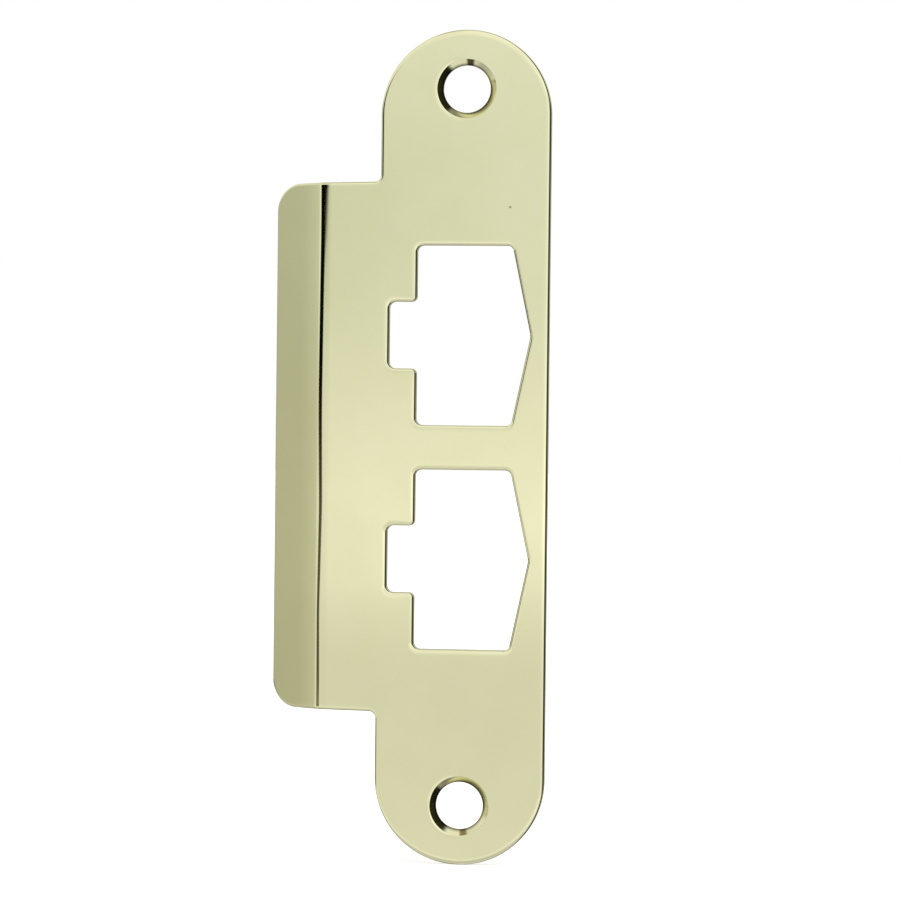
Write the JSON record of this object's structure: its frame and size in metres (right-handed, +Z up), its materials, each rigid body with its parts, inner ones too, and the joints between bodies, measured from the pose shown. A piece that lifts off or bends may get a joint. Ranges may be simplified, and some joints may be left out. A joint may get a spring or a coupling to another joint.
{
  "type": "strike plate cover",
  "caption": "Long flat sheet plate with full-round ends, notched latch openings, countersunk screw holes near the ends and a side tab whose lip is folded back to lead a latch in.",
  "frame": {"origin": "midway between the two screw holes, on the back face that lies against the door frame", "axes": "+Z up along the plate's length, +X to the right as seen from the front, +Y from the front face through the plate into the door frame; the lip is on the -X side"},
  "size_m": [0.0502, 0.0055, 0.15],
  "materials": {
    "polished_brass": "polished"
  },
  "bodies": {
    "root": {"strike_plate_cover": "polished_brass"}
  },
  "joints": []
}
